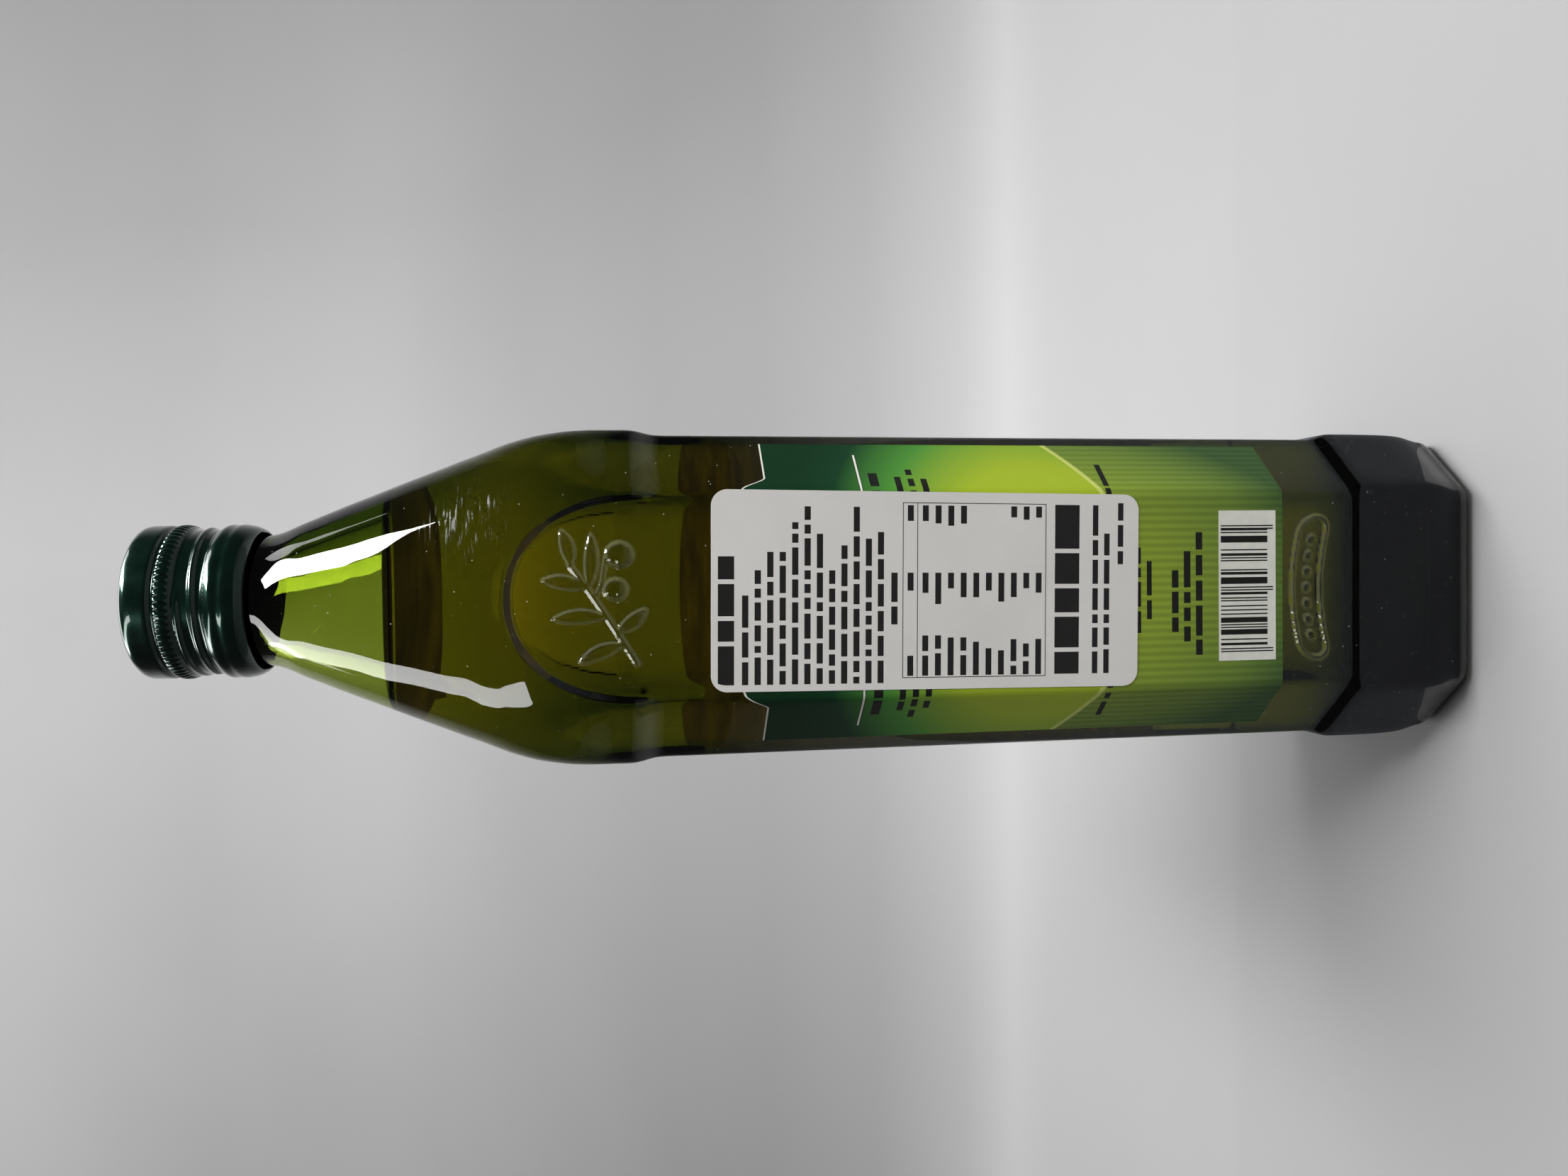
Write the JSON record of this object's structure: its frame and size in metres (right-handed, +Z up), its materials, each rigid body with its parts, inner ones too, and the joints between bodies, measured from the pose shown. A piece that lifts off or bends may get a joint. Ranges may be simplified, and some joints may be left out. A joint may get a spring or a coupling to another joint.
{
  "type": "olive oil bottle",
  "caption": "Full square glass bottle of olive oil with cut corners, tapered shoulder, screw cap, paper labels and a paper sticker.",
  "frame": {"origin": "centre of the ring that the bottle stands on", "axes": "+Z up along the bottle's axis, the shown face with the back label towards -Y"},
  "size_m": [0.0688, 0.0686, 0.2838],
  "materials": {
    "green_glass": "glossy",
    "olive_oil": "liquid",
    "green_aluminium": "lacquered",
    "back_print": "printed paper",
    "front_print": "printed paper",
    "shoulder_print": "printed paper",
    "sticker_paper": "satin paper"
  },
  "bodies": {
    "root": {"glass_bottle": "green_glass", "oil": "olive_oil", "cap": "green_aluminium", "back_label": "back_print", "front_label": "front_print", "shoulder_label": "shoulder_print", "sticker": "sticker_paper"}
  },
  "joints": []
}
